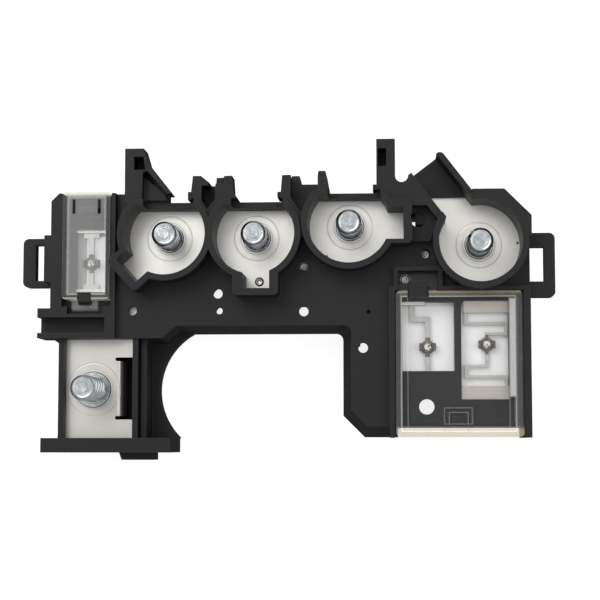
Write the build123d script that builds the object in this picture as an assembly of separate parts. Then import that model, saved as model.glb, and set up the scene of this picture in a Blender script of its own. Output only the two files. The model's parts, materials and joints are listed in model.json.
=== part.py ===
from build123d import *
from dataclasses import dataclass
import math
import os

# Battery terminal fuse block. A black moulded carrier holds a tinned battery
# bus bar and three tinned outlet bars. Four short M8 studs stand in round pockets
# and a tall one stands in a bay at the lower left. Three fuse links with tin
# pellets bridge the bars inside windows, under two clear lids: the left one
# turns on a loop hinge and the right one lifts off.
# X runs right, Y runs up the face and Z runs out of the face, in millimetres.
# The block lies on its back at Z = 0.

# Levels above the back
bar_back = 16.0
bar_thickness = 2.0
floor_under_bars = 2.0
skin_over_bars = 4.0
frame_step = 3.0
pocket_depth = 14.0
tower_setback = 2.0
sill_height = 6.0
bay_floor = 5.0
recess_floor_over_bars = 1.5
duct_floor_over_bars = 1.4
channel_floor_over_bars = 1.2
ledge_step = 3.0

bar_front = bar_back + bar_thickness
skin_front = bar_front + skin_over_bars
frame_front = skin_front + frame_step
rim_front = bar_front + pocket_depth
tower_front = rim_front - tower_setback
sill_front = bar_front + sill_height
web_back = bar_back - floor_under_bars
recess_floor = bar_front + recess_floor_over_bars
duct_floor = bar_front + duct_floor_over_bars
channel_floor = bar_front + channel_floor_over_bars
ledge_front = skin_front + ledge_step
cut_through = 1.0
overlap = 0.5
past_pocket = 20.0
past_part = 100.0
open_back = -cut_through
open_front = rim_front + cut_through
through_web = web_back - cut_through

# Walls and drafts of the moulding
skirt_wall = 2.0
rim_wall = 1.9
rib_wall = 1.5
window_wall = 1.6
skirt_draft = 2.5
leg_draft = 8.3
opening_draft = 3.3
bar_margin = 2.2

# Outline of the carrier's front skin
left_edge = -73.7
right_edge = 75.6
block_top = 34.1
block_bottom = -11.4
corner_chamfer = 2.5
corner_top = 33.3
corner_cut = 8.2
opening_top = -7.6
opening_left = -34.4
opening_slope = 4.5
opening_corner = 2.2
leg_left = 20.3
leg_bottom = -39.0
leg_chamfer = 5.0
leg_end = -38.3
foot_bottom = -42.4
left_foot = 33.7
right_foot = 73.4

# Studs, their heads and the wells behind them
stud_radius = 4.0
short_above_bar = 13.0
short_head_flats = 12.0
short_head_height = 4.0
short_collar_overhang = 0.5
tall_above_bar = 18.0
tall_head_flats = 13.0
tall_head_height = 5.3
tall_collar_overhang = 1.7
collar_height = 0.7
stud_chamfer = 0.8
well_wall = 1.6
well_clearance = 0.3
well_depth = 5.0

# Stud pockets
pocket_radius = 12.7
channel_corner = 1.5


@dataclass
class Pocket:
    """A stud pocket with a side channel that stops a cable lug from turning."""

    x: float
    y: float
    angle: float
    width: float
    reach: float
    shift: float
    left_wall: float
    right_wall: float
    end_wall: float
    sill: float = 8.7
    sill_wall: float = 1.9
    exit_margin: float = 0.0

    def point(self, along, across):
        """Find a point at a distance along the channel and to its left."""
        turn = math.radians(self.angle)
        x = self.x + along * math.cos(turn) - across * math.sin(turn)
        y = self.y + along * math.sin(turn) + across * math.cos(turn)
        return (x, y)


pocket_pitch = 27.6
third_pocket_step = 29.4
third_pocket_rise = 3.3
fourth_pocket_step = 40.3
fourth_pocket_drop = 6.0

first = Pocket(x=-37.1, y=20.3, angle=222, width=9.4, reach=16.3, shift=0.7,
               left_wall=2.0, right_wall=1.6, end_wall=2.6, exit_margin=2.7)
second = Pocket(x=first.x + pocket_pitch, y=first.y, angle=270, width=8.3, reach=17.1, shift=0.85,
                left_wall=2.7, right_wall=3.1, end_wall=2.1, exit_margin=2.3)
third = Pocket(x=second.x + third_pocket_step, y=second.y + third_pocket_rise, angle=0, width=9.9,
               reach=16.8, shift=-0.55, left_wall=2.5, right_wall=1.3, end_wall=2.6,
               sill=8.2, sill_wall=1.6, exit_margin=3.2)
fourth = Pocket(x=third.x + fourth_pocket_step, y=third.y - fourth_pocket_drop, angle=127.3, width=9.7,
                reach=29.6, shift=-0.9, left_wall=2.35, right_wall=1.75, end_wall=0.0)
lug_pockets = [first, second, third]
pockets = [first, second, third, fourth]
rim_radius = pocket_radius + rim_wall
duct_step_y = fourth.y + 15.0

# Cable-guide towers along the top edge
tower_1_x = -49.65
tower_1_width = 5.3
tower_1_top = 47.2
tower_3_x = 4.6
tower_4_x = 28.4
tower_4_width = 5.75
tower_4_top = 49.4
notch_radius = 2.0
notch_y = 37.9
hole_depth = 8.0
web_front = 26.0
web_step = 3.0
nub_front = 24.0
tower_nubs = [(-29.5, 33.1, 2.4, 2.5), (-1.7, 33.3, 1.8, 1.6), (28.1, 35.3, 1.8, 1.7)]

# Battery bay at the lower left
bay_left = -71.4
bay_wall = 1.7
bay_bottom = -42.5
rail_left = -76.2
rail_right = -35.8
rail_height = 4.5
bay_plate_right = -48.2
flange_x = -51.8
flange_drop = 8.5
slot_width = 1.1
slot_run = 1.8
flange_top = -18.3
flange_bottom = -35.6
tall_x = -61.0
tall_y = -27.3
rib_gap = 0.6
arc_x = -21.0
arc_y = -27.2
arc_radius = 20.9
clip_left = -52.9
clip_right = -41.5
clip_drop = 2.3
clip_slope = 1.0
clip_back = 10.0
clip_front = 18.0

# Side channel and lugs beside the left lid
lug_left = -77.7
lug_top = -2.1
channel_top = -5.0
channel_bottom = -9.8
channel_right = -56.5
lug_back = 12.0

# Handle loops
handle_back = 16.0
handle_front = 20.0
left_handle_outer = -83.5
left_handle_low = 4.9
left_handle_high = 20.4
right_handle_outer = 83.6
right_handle_low = 1.0
right_handle_high = 21.1
handle_corner = 1.8
left_handle_bars = (4.0, 2.1, 2.0)
right_handle_bars = (3.4, 4.9, 4.4)
bump_reach = 2.1
bump_low = 6.1
bump_high = 20.9

# Fuse windows: left, right, bottom and top
window_1 = (-67.0, -57.4, 3.4, 23.4)
window_2 = (36.0, 52.4, -21.8, -0.1)
window_3 = (54.4, 69.2, -30.6, 0.1)
bar_into_window = 1.0

# Clear lids: left, right, bottom and top
lid_front = 26.0
lid_wall = 1.4
lid_corner = 1.2
lid_clearance = 0.3
left_lid = (-69.9, -54.9, 0.6, 34.4)
right_lid = (34.2, 73.1, -42.2, 2.6)
lip_drop = 8.0
leg_frame_left = 32.2
frame_wall = 1.3
swing_room = 2.2

# Lid loops and the carrier's hooks
loop_z = 22.6
loop_radius = 1.25
hook_clearance = 0.3
hook_nose = 1.4
hook_tip = 0.5
nose_cover = 0.65
left_hook_x = (-64.8, -61.0)
left_loop_x = (-67.1, -59.0)
left_loop_y = -1.65
left_hook_depth = 2.3
left_hook_room = 0.9
left_recess_margins = (1.3, 1.9)
right_hook_x = (38.1, 44.0)
right_loop_x = (35.2, 47.0)
right_loop_y = (5.1, 8.0)
right_hook_depth = 4.0
loop_recess = 1.0
arm_rise = 2.0

# Snap tongue, catches and the right lid's ribs
tongue_width = 8.0
tongue_length = 4.6
tongue_slot = 1.1
tongue_from_top = 2.3
catch_width = 6.2
catch_length = 1.9
catch_from_top = 4.5
snap_x = 53.2
snap_width = 8.8
snap_top = -33.2
snap_catch_width = 3.3
snap_catch_length = 2.4
snap_catch_height = 2.5
lid_rib_left = (36.4, 37.6, -37.3, -22.7)
lid_rib_right = (69.6, 70.8, -37.9, -29.9)
lid_rib_drop = 4.0

# Battery bar and outlet bars
run_low = -5.4
run_high = 4.4
leg_run_left = 22.3
leg_run_right = 32.0
end_run_bottom = -30.6
end_run_top_3 = -26.4
outlet_3_width = 9.4
outlet_3_inset = 3.0
outlet_4_bottom = -3.6
arm_overhang = 0.8

# Fuse links and tin pellets
link_thickness = 1.0
link_width = 1.6
narrow_link_width = 0.9
link_2_left = 39.1
link_2_step = -5.6
link_3_fold = 3.3
pellet_radius = 1.5
pellet_height = 1.1
pellet_chamfer = 0.5
wing_height = 1.5
wing_thickness = 0.7
wing_length = 2.4
wing_reach = 2.6
pad_width = 5.0
pad_length = 1.6
link_back = bar_back + (bar_thickness - link_thickness) / 2
link_front = link_back + link_thickness
pellet_1 = ((window_1[0] + window_1[1]) / 2, 12.6)
pellet_2 = (44.0, -14.3)
pellet_3 = (62.4, -13.5)

# Rivets and small holes: middle and radius
rivet_radius = 0.9
rivet_head_radius = 1.4
rivet_head_height = 0.6
rivet_clearance = 0.15
rivet_ear = 2.6
ear_rivet = (5.6, 11.0)
battery_rivets = [(second.x + second.shift, second.y - second.reach + 3.3), ear_rivet]
outlet_rivets = [(third.x + third.reach + 6.8, third.y - 9.0), (third.x + third.reach + 0.4, 6.8)]
pin_room = 1.2
pin_flare = 0.8
tooling_holes = [(-21.3, 2.4, 1.45), (-20.8, -3.0, 1.0), (5.6, -3.3, 1.45), (24.0, -14.7, 1.5),
                 (43.6, -32.9, 2.1)]
sight_hole = (-48.3, -2.8, 1.45)
blind_hole = (25.7, -3.5, 0.7)
blind_depth = 2.0
ledge_hole = (third.x + third.reach + 4.5, third.y + 1.3, 2.35)
ledge_hook = (40.4, 44.0, 23.4, 28.0)

# Stiffening ribs behind the skin
rib_start = -58.0
rib_pitch = 15.0
rib_back = 1.5
rib_rows = [-27.5, -13.5, 0.5, 14.5, 28.0]


def prism(points, low, high):
    """Extrude a closed outline between two levels."""
    face = make_face(Polyline(*points, close=True))
    return Pos(0, 0, low) * extrude(face, amount=high - low)


def block(x0, x1, y0, y1, low, high):
    """Make a rectangular block from its six faces."""
    return Pos((x0 + x1) / 2, (y0 + y1) / 2, (low + high) / 2) * Box(x1 - x0, y1 - y0, high - low)


def disc(x, y, radius, low, high):
    """Make an upright cylinder between two levels."""
    return Pos(x, y, (low + high) / 2) * Cylinder(radius, high - low)


def hexagon(x, y, flats, low, high):
    """Make an upright hexagonal block with two of its flats facing left and right."""
    face = RegularPolygon(flats / 2, 6, major_radius=False, rotation=30)
    return Pos(x, y, low) * extrude(face, amount=high - low)


def channel(pocket, low, high):
    """Make the space that runs from a pocket's middle out along its channel."""
    bar = Box(pocket.reach, pocket.width, high - low)
    bar = Pos(pocket.reach / 2, pocket.shift, (low + high) / 2) * bar
    return Pos(pocket.x, pocket.y, 0) * Rot(0, 0, pocket.angle) * bar


def channel_walls(pocket, low, high):
    """Make the filled form of a channel with its side walls and end wall, round at the corners."""
    length = pocket.reach + pocket.end_wall
    width = pocket.left_wall + pocket.width + pocket.right_wall
    middle = pocket.shift + (pocket.left_wall - pocket.right_wall) / 2
    form = extrude(RectangleRounded(length, width, channel_corner), amount=high - low)
    return Pos(pocket.x, pocket.y, low) * Rot(0, 0, pocket.angle) * Pos(length / 2, middle, 0) * form


def strip(points, width, low, high):
    """Make a flat strip of one width that follows a run of points with square corners."""
    pieces = []
    for (x0, y0), (x1, y1) in zip(points, points[1:]):
        length = math.hypot(x1 - x0, y1 - y0) + width
        turn = math.degrees(math.atan2(y1 - y0, x1 - x0))
        middle = Pos((x0 + x1) / 2, (y0 + y1) / 2, (low + high) / 2)
        pieces.append(middle * Rot(0, 0, turn) * Box(length, width, high - low))
    return pieces[0] + pieces[1:]


def beyond(pocket, edge):
    """Make a block that takes away all of a pocket past a level edge above its middle."""
    x0, x1 = pocket.x - past_pocket, pocket.x + past_pocket
    return block(x0, x1, edge, edge + past_pocket, open_back, open_front + 1)


def past_duct_step(low, high):
    """Make a block that takes away the duct past the line where its floor steps up."""
    return block(fourth.x - past_part, fourth.x + past_part, duct_step_y, fourth.y + past_part, low, high)


def window_block(window, grow, low, high):
    """Make the block that fills a fuse window, grown by a wall on every side."""
    x0, x1, y0, y1 = window
    return block(x0 - grow, x1 + grow, y0 - grow, y1 + grow, low, high)


# Bus bars

def bay_plate():
    """Make the battery plate with its two bend-relief slots and folded flange."""
    low, high = bar_back - cut_through, bar_front + cut_through
    plate = block(bay_left + bay_wall, bay_plate_right, bay_bottom, block_bottom, bar_back, bar_front)
    gaps = [block(flange_x, bay_plate_right + 1, flange_bottom, flange_top, low, high)]
    slot_end = flange_x - slot_run
    for edge in (flange_top, flange_bottom - slot_width):
        gaps.append(block(slot_end, bay_plate_right + 1, edge, edge + slot_width, low, high))
        gaps.append(disc(slot_end, edge + slot_width / 2, slot_width / 2, low, high))
    inner_face = flange_x - bar_thickness
    gaps.append(block(inner_face, flange_x, flange_bottom, flange_top, low, high))
    flange = block(inner_face, flange_x, flange_bottom, flange_top, bar_front - flange_drop, bar_front)
    bend = flange.edges().filter_by(Axis.Y).sort_by(Axis.Z)[-2:].sort_by(Axis.X)[-1]
    return (plate - gaps) + fillet(bend, bar_thickness * 0.9)


def battery_bar_runs():
    """Make the flat runs of the battery bar, from the bay to the two right windows."""
    left = bay_left + bay_wall
    end_2 = window_2[2]
    end_3_right = window_3[1] + bar_margin / 2
    neck_x = second.x + second.shift
    half = second.width / 2
    return [
        block(left, bay_plate_right, block_bottom - overlap, window_1[2] + bar_into_window,
              bar_back, bar_front),
        block(bay_plate_right - 1, leg_run_right, run_low, run_high, bar_back, bar_front),
        block(leg_run_left, leg_run_right, end_run_bottom, run_high, bar_back, bar_front),
        block(leg_run_left, window_3[0] - 0.6, end_run_bottom, end_2, bar_back, bar_front),
        block(leg_run_left, end_3_right, end_run_bottom, end_run_top_3, bar_back, bar_front),
        block(neck_x - half, neck_x + half, run_low, second.y, bar_back, bar_front),
        rivet_ear_block(rivet_ear, bar_back, bar_front),
        plate_disc(second),
    ]


def rivet_ear_block(margin, low, high):
    """Make the ear that reaches up from the battery bar to its second rivet."""
    x, y = ear_rivet
    return block(x - margin, x + margin, run_high - 1, y + margin, low, high)


def plate_disc(pocket):
    """Make a pocket's round plate, cut straight at the sill where the cable leaves."""
    plate = disc(pocket.x, pocket.y, pocket_radius, bar_back, bar_front)
    if pocket is fourth:
        return plate
    chord = pocket.y + pocket.sill
    return plate - beyond(pocket, chord)


def stud_hole(pocket):
    """Make the cutter for the hole that a pocket's stud is pressed into."""
    return disc(pocket.x, pocket.y, stud_radius, bar_back - cut_through, bar_front + cut_through)


def rivet_holes(places):
    """Make the cutters for the rivets' holes in a bar."""
    return [disc(x, y, rivet_radius, bar_back - cut_through, bar_front + cut_through) for x, y in places]


def battery_bus_bar():
    """Make the battery bar, with holes for the studs and a rivet and square gaps round the mould's pins."""
    bar = bay_plate() + battery_bar_runs()
    holes = [stud_hole(second), disc(tall_x, tall_y, stud_radius, bar_back - 1, bar_front + 1)]
    for x, y, radius in tooling_holes:
        room = radius + pin_room
        holes.append(block(x - room, x + room, y - room, y + room, bar_back - 1, bar_front + 1))
    return bar - (holes + rivet_holes(battery_rivets))


def outlet_bar_1():
    """Make the left outlet bar, from the first pocket to the left window's top."""
    arm = block(window_1[0] - arm_overhang, first.x, window_1[3] - bar_into_window, first.y + first.sill,
                bar_back, bar_front)
    return plate_disc(first) + [channel(first, bar_back, bar_front), arm] - stud_hole(first)


def outlet_bar_3():
    """Make the middle outlet bar, from the third pocket down to the second window's top."""
    left = third.x + third.reach - outlet_3_inset
    arm = block(left, left + outlet_3_width, window_2[3] - bar_into_window, third.y + third.shift,
                bar_back, bar_front)
    bar = plate_disc(third) + [channel(third, bar_back, bar_front), arm]
    return bar - ([stud_hole(third)] + rivet_holes(outlet_rivets))


def outlet_bar_4():
    """Make the right outlet bar, from the fourth pocket down to the third window's top."""
    tab = channel(fourth, bar_back, bar_front) - past_duct_step(open_back, open_front)
    arm = block(window_3[0] + arm_overhang, window_3[1] + arm_overhang, outlet_4_bottom, fourth.y - 6,
                bar_back, bar_front)
    return plate_disc(fourth) + [tab, arm] - stud_hole(fourth)


# Fuse links and pellets

def link(points, width, pellet, pads):
    """Make a fuse link: a strip with a cradle of folded wings round its pellet."""
    x, y = pellet
    half = wing_length / 2
    pieces = [block(x - wing_reach, x + wing_reach, y - half, y + half, link_back, link_front),
              disc(x, y, pellet_radius + wing_thickness, link_back, link_front)]
    for pad_x, low, high in pads:
        pieces.append(block(pad_x - pad_width / 2, pad_x + pad_width / 2, low, high, link_back, link_front))
    for side in (-1, 1):
        wing_x = x + side * (wing_reach - wing_thickness / 2)
        pieces.append(block(wing_x - wing_thickness / 2, wing_x + wing_thickness / 2, y - half, y + half,
                            link_back, link_front + wing_height))
    return strip(points, width, link_back, link_front) + pieces


def fuse_link_1():
    """Make the straight link in the left window."""
    x = pellet_1[0]
    low = window_1[2] + bar_into_window
    high = window_1[3] - bar_into_window
    half = link_width / 2
    pads = [(x, low, low + pad_length), (x, high - pad_length, high)]
    return link([(x, low + half), (x, high - half)], link_width, pellet_1, pads)


def fuse_link_2():
    """Make the stepped link in the second window."""
    x = pellet_2[0]
    half = link_width / 2
    points = [(link_2_left, window_2[3] - bar_into_window - half), (link_2_left, link_2_step),
              (x, link_2_step), (x, window_2[2] + half)]
    return link(points, link_width, pellet_2, [])


def fuse_link_3():
    """Make the folded link in the third window, which runs to and fro across it."""
    x = pellet_3[0]
    high = outlet_4_bottom
    low = end_run_top_3
    half = narrow_link_width / 2
    left = window_3[0] + 1.5
    right = window_3[1] - 0.8
    points = [(left, high - half), (left, high - link_3_fold), (right, high - link_3_fold),
              (right, high - 2 * link_3_fold), (x, high - 2 * link_3_fold),
              (x, low + 2 * link_3_fold - half), (left, low + 2 * link_3_fold - half),
              (left, low + link_3_fold - half),
              (right, low + link_3_fold - half), (right, low + half)]
    return link(points, narrow_link_width, pellet_3, [])


def tin_pellet(place):
    """Make a tin pellet, a low button held in its link's cradle."""
    x, y = place
    pellet = disc(x, y, pellet_radius, link_front, link_front + pellet_height)
    return chamfer(pellet.edges().sort_by(Axis.Z)[-1], pellet_chamfer)


# Studs and rivets

def stud(x, y, above_bar, flats, head_height, overhang):
    """Make a press-in stud: hexagonal head behind the bar, collar in front and a chamfered shank."""
    shank = disc(x, y, stud_radius, bar_back - head_height, bar_front + above_bar)
    shank = chamfer(shank.edges().sort_by(Axis.Z)[-1], stud_chamfer)
    head = hexagon(x, y, flats, bar_back - head_height, bar_back)
    return shank + [head, disc(x, y, stud_radius + overhang, bar_front, bar_front + collar_height)]


def rivet(x, y):
    """Make a rivet that clamps a bar to the web behind it."""
    shank = disc(x, y, rivet_radius, web_back - rivet_head_height, bar_front + rivet_head_height)
    front = disc(x, y, rivet_head_radius, bar_front, bar_front + rivet_head_height)
    tail = disc(x, y, rivet_head_radius, web_back - rivet_head_height, web_back)
    return shank + [front, tail]


# Carrier moulding

def skin_outline():
    """List the front skin's corners clockwise, each with the draft of the side that starts there."""
    sill_1 = first.y + first.sill + first.sill_wall
    sill_3 = third.y + third.sill + third.sill_wall
    tower_1_right = tower_1_x + tower_1_width
    left_side = fourth.shift + fourth.width / 2 + fourth.left_wall
    right_side = fourth.shift - fourth.width / 2 - fourth.right_wall
    turn = math.radians(fourth.angle)
    foot = fourth.point(fourth.reach - 3.4, left_side)
    along = (corner_top - fourth.y - right_side * math.cos(turn)) / math.sin(turn)
    return [
        (left_edge, block_top - corner_chamfer, skirt_draft),
        (left_edge + corner_chamfer, block_top, skirt_draft),
        (tower_1_right, block_top, skirt_draft),
        (tower_1_right, sill_1, skirt_draft),
        (tower_3_x, sill_1, skirt_draft),
        (tower_3_x, sill_3, skirt_draft),
        (tower_4_x, sill_3, skirt_draft),
        (tower_4_x, foot[1], skirt_draft),
        (*foot, skirt_draft),
        (*fourth.point(fourth.reach, left_side), skirt_draft),
        (*fourth.point(fourth.reach, right_side), skirt_draft),
        (*fourth.point(along, right_side), skirt_draft),
        (right_edge - corner_cut, corner_top, skirt_draft),
        (right_edge, corner_top - corner_cut, skirt_draft),
        (right_edge, leg_end, skirt_draft),
        (left_foot, leg_end, skirt_draft),
        (left_foot, leg_bottom, leg_draft),
        (leg_left + leg_chamfer, leg_bottom, leg_draft),
        (leg_left, leg_bottom + leg_chamfer, leg_draft),
        (leg_left, opening_top, opening_draft),
        (opening_left, opening_top, skirt_draft),
        (opening_left - opening_slope, block_bottom, skirt_draft),
        (left_edge, block_bottom, skirt_draft),
    ]


def moved_outline(corners, inset, drop):
    """Move each side in by a wall and out by its draft over a drop, and list the new corners."""
    sides = []
    for (x0, y0, draft), (x1, y1, _) in zip(corners, corners[1:] + corners[:1]):
        length = math.hypot(x1 - x0, y1 - y0)
        normal_x, normal_y = -(y1 - y0) / length, (x1 - x0) / length
        step = drop * math.tan(math.radians(draft)) - inset
        sides.append((normal_x, normal_y, normal_x * x0 + normal_y * y0 + step))
    points = []
    for (a0, b0, c0), (a1, b1, c1) in zip(sides[-1:] + sides[:-1], sides):
        spread = a0 * b1 - a1 * b0
        points.append(((c0 * b1 - c1 * b0) / spread, (a0 * c1 - a1 * c0) / spread))
    return points


def drafted(inset, low, high):
    """Make a solid with the skin's outline that grows towards the back by each side's draft."""
    corners = skin_outline()
    faces = []
    for level in (low, high):
        points = moved_outline(corners, inset, skin_front - level)
        faces.append(Pos(0, 0, level) * make_face(Polyline(*points, close=True)))
    body = loft(faces, ruled=True)
    corner = body.edges().sort_by_distance((leg_left, opening_top, (low + high) / 2))[0]
    return fillet(corner, opening_corner + inset)


def pocket_walls():
    """Make the four pocket rims with their channel walls, sills, duct and corner block."""
    pieces = []
    for pocket in lug_pockets:
        rim = disc(pocket.x, pocket.y, rim_radius, web_back, rim_front)
        outer = pocket.y + pocket.sill + pocket.sill_wall
        rim = rim - beyond(pocket, outer)
        pieces += [rim, channel_walls(pocket, web_back, rim_front)]
    pieces.append(disc(fourth.x, fourth.y, rim_radius, web_back, rim_front))
    right_side = fourth.shift - fourth.width / 2 - fourth.right_wall
    turn = math.radians(fourth.angle)
    along = (corner_top - fourth.y - right_side * math.cos(turn)) / math.sin(turn)
    corner = [fourth.point(along, right_side), (right_edge - corner_cut, corner_top),
              (right_edge, corner_top - corner_cut), (right_edge, fourth.y + 1.0), (fourth.x, fourth.y)]
    pieces.append(prism(corner, web_back, rim_front))
    pieces.append(channel_walls(fourth, web_back, tower_front))
    return pieces


def pocket_spaces():
    """Make the spaces that are cut out of the pocket rims."""
    spaces = [disc(fourth.x, fourth.y, pocket_radius, bar_front, open_front)]
    for pocket in lug_pockets:
        chord = pocket.y + pocket.sill
        half = math.sqrt(pocket_radius ** 2 - pocket.sill ** 2)
        space = disc(pocket.x, pocket.y, pocket_radius, bar_front, open_front)
        spaces.append(space - beyond(pocket, chord))
        spaces.append(block(pocket.x - half + pocket.exit_margin, pocket.x + half, chord - overlap,
                            chord + pocket.sill_wall + overlap, sill_front, open_front))
        spaces.append(channel(pocket, bar_front, open_front))
    spaces.append(channel(fourth, bar_front, open_front) - past_duct_step(open_back, duct_floor))
    over_end = fourth.point(fourth.reach, fourth.shift)
    run_out = Pos(*over_end, (duct_floor + open_front) / 2) * Rot(0, 0, fourth.angle)
    spaces.append(run_out * Box(3, fourth.width, open_front - duct_floor))
    return spaces


def towers():
    """Make the cable-guide towers that stand along the top edge, with their nubs."""
    low = web_back
    raised = skin_front - overlap
    sill_1 = first.y + first.sill + first.sill_wall
    x = tower_1_x
    first_tower = [(x, sill_1 - 1), (x, tower_1_top), (x + 5.9, tower_1_top), (x + 6.6, 44.9),
                   (x + 7.3, 42.5), (-34.9, 33.0), (-36.5, 33.0), (x + 6.9, 40.2), (x + 5.6, 39.6),
                   (x + tower_1_width, sill_1 - 2)]
    web = [(x + 4.5, sill_1 - overlap), (x + 4.5, 39.5), (-37.6, 33.4), (-36.4, sill_1 - overlap)]
    web_foot = [(x + 4.5, sill_1 - overlap), (x + 4.5, 40.5), (x + 7.2, 40.5), (-36.3, 33.1),
                (-36.3, sill_1 - overlap)]
    second_tower = [(-28.4, 38.4), (-25.9, 38.4), (-23.4, 36.4), (-21.5, 36.4), (-21.3, 38.2), (-16.2, 38.4),
                    (-15.9, 33.4), (-13.8, 30.4), (-16.5, 27.0), (-23.3, 17.0), (-28.0, 26.0), (-29.2, 31.0)]
    third_tower = [(-0.7, 38.4), (1.9, 38.5), (1.9, 39.2), (4.3, 39.2), (4.9, 36.5), (10.1, 36.5),
                   (10.5, 39.6), (12.7, 39.6), (14.0, 32.4), (10.0, 27.0), (5.1, 18.5), (2.0, 26.0),
                   (-1.3, 30.8)]
    x = tower_4_x
    right = x + tower_4_width
    fourth_tower = [(x, tower_4_top), (right, tower_4_top), (right, notch_y), (38.6, notch_y), (47.5, 26.0),
                    (45.0, 18.1), (39.3, 18.1), (39.3, 28.2), (32.6, 28.2), (x, 31.9)]
    pieces = [prism(first_tower, raised, tower_front), prism(web, raised, web_front),
              prism(web_foot, raised, web_front - web_step), prism(second_tower, raised, tower_front),
              prism(third_tower, low, tower_front), prism(fourth_tower, low, tower_front)]
    for nub_x, nub_y, width, height in tower_nubs:
        pieces.append(block(nub_x - width / 2, nub_x + width / 2, nub_y - height / 2, nub_y + height / 2,
                            low, nub_front))
    return pieces


def tower_cuts():
    """Make the recesses, notch and lower ledges in the towers."""
    x = tower_1_x
    bottom = tower_front - hole_depth
    top = tower_front + cut_through
    notch_x = tower_4_x + tower_4_width + notch_radius
    ledge = block(third.x + third.reach + third.end_wall, 47.6, 17.0, 28.6, ledge_front, top)
    keep = [channel_walls(fourth, 0, open_front), disc(fourth.x, fourth.y, rim_radius, 0, open_front)]
    return [
        prism([(x + 2.8, 40.5), (x + 2.8, 44.6), (x + 5.8, 44.6), (x + 6.4, 40.5)], bottom, top),
        block(tower_4_x + 0.5, tower_4_x + 3.1, 40.9, 46.5, bottom, top),
        disc(notch_x, notch_y, notch_radius, through_web, top),
        prism([(-25.7, 35.4), (-23.6, 35.4), (-23.2, 37.0), (-21.4, 37.0), (-21.4, 31.0), (-23.9, 28.0),
               (-25.7, 30.8)], skin_front, top),
        block(-21.5, -18.7, 36.0, 39.0, tower_front - 3.0, top),
        prism([(1.9, 40.0), (10.3, 40.0), (10.3, 33.4), (8.0, 30.6), (4.9, 26.8), (1.9, 31.5)],
              skin_front + 1, top),
        ledge - keep,
    ]


def bay_walls():
    """Make the battery bay: floor strip, side wall, ribs, plate pedestal, rail and clip."""
    top = block_bottom + 1
    floor_edge = [(bay_left, bay_bottom), (arc_x - 12, bay_bottom), (arc_x, bay_bottom + 30),
                  (arc_x, opening_top - overlap), (bay_left, opening_top - overlap)]
    floor_strip = prism(floor_edge, 0, bay_floor) - disc(arc_x, arc_y, arc_radius, open_back, bay_floor + 1)
    inner_rib = bay_plate_right
    outer_rib = bay_plate_right + bay_wall + rib_gap
    rail_low = bay_bottom - rail_height
    clip = prism([(clip_left, rail_low + overlap), (clip_left + clip_slope, rail_low - clip_drop),
                  (clip_right, rail_low - clip_drop), (clip_right, rail_low + overlap)],
                 clip_back, clip_front)
    return [
        floor_strip,
        block(bay_left, bay_left + bay_wall, bay_bottom, top, 0, skin_front),
        block(bay_left + bay_wall, flange_x - bar_thickness - rib_gap / 2, bay_bottom, top, 0, bar_back),
        block(inner_rib, inner_rib + bay_wall, bay_bottom, top, 0, skin_front - 1),
        block(outer_rib, outer_rib + bay_wall, bay_bottom, top, 0, bar_front),
        block(inner_rib, outer_rib + bay_wall, bay_bottom, top, 0, bar_back),
        block(rail_left, rail_right, rail_low, bay_bottom, 0, frame_front),
        clip,
    ]


def handles():
    """Make the two handle loops as rounded frames, open through their thickness."""
    loops = []
    for outer, edge, low, high, bars in (
            (left_handle_outer, left_edge + handle_corner, left_handle_low, left_handle_high,
             left_handle_bars),
            (right_handle_outer, right_edge - handle_corner, right_handle_low, right_handle_high,
             right_handle_bars)):
        outer_bar, low_bar, high_bar = bars
        x0, x1 = min(outer, edge), max(outer, edge)
        frame = extrude(RectangleRounded(x1 - x0, high - low, handle_corner),
                        amount=handle_front - handle_back)
        frame = Pos((x0 + x1) / 2, (low + high) / 2, handle_back) * frame
        hole_x0, hole_x1 = (x0 + outer_bar, x1 + 1) if outer < edge else (x0 - 1, x1 - outer_bar)
        hole = block(hole_x0, hole_x1, low + low_bar, high - high_bar, handle_back - 1, handle_front + 1)
        loops.append(frame - hole)
    return loops


def side_channel():
    """Make the lugs beside the left lid, the body of their channel and the ridge behind the left handle."""
    body = block(lug_left, left_edge + 1, block_bottom, lug_top, lug_back, frame_front)
    ridge = block(left_edge - bump_reach, left_edge + 1, bump_low, bump_high, lug_back, frame_front)
    return [body, ridge]


def lid_frames():
    """Make the raised frames that stand round the two lids."""
    low = skin_front - 1
    left = block(left_edge, left_lid[1] + lid_clearance + frame_wall, block_bottom, block_top,
                 low, frame_front)
    corner = prism([(left_edge - 1, block_top - corner_chamfer - 1), (left_edge - 1, block_top + 1),
                    (left_edge + corner_chamfer + 1, block_top + 1)], low - 1, frame_front + 1)
    top = right_lid[3] + lid_clearance + frame_wall
    return [
        left - corner,
        block(leg_frame_left, right_edge, leg_end, top, low, frame_front),
        block(leg_frame_left, left_foot, foot_bottom, leg_end + 1, 0, frame_front),
        block(right_foot, right_edge, foot_bottom, leg_end + 1, 0, frame_front),
        block(right_loop_x[0] - lid_clearance - frame_wall, right_loop_x[1] + lid_clearance + frame_wall,
              0.0, right_loop_y[1] + loop_recess + frame_wall, low, frame_front),
    ]


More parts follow.
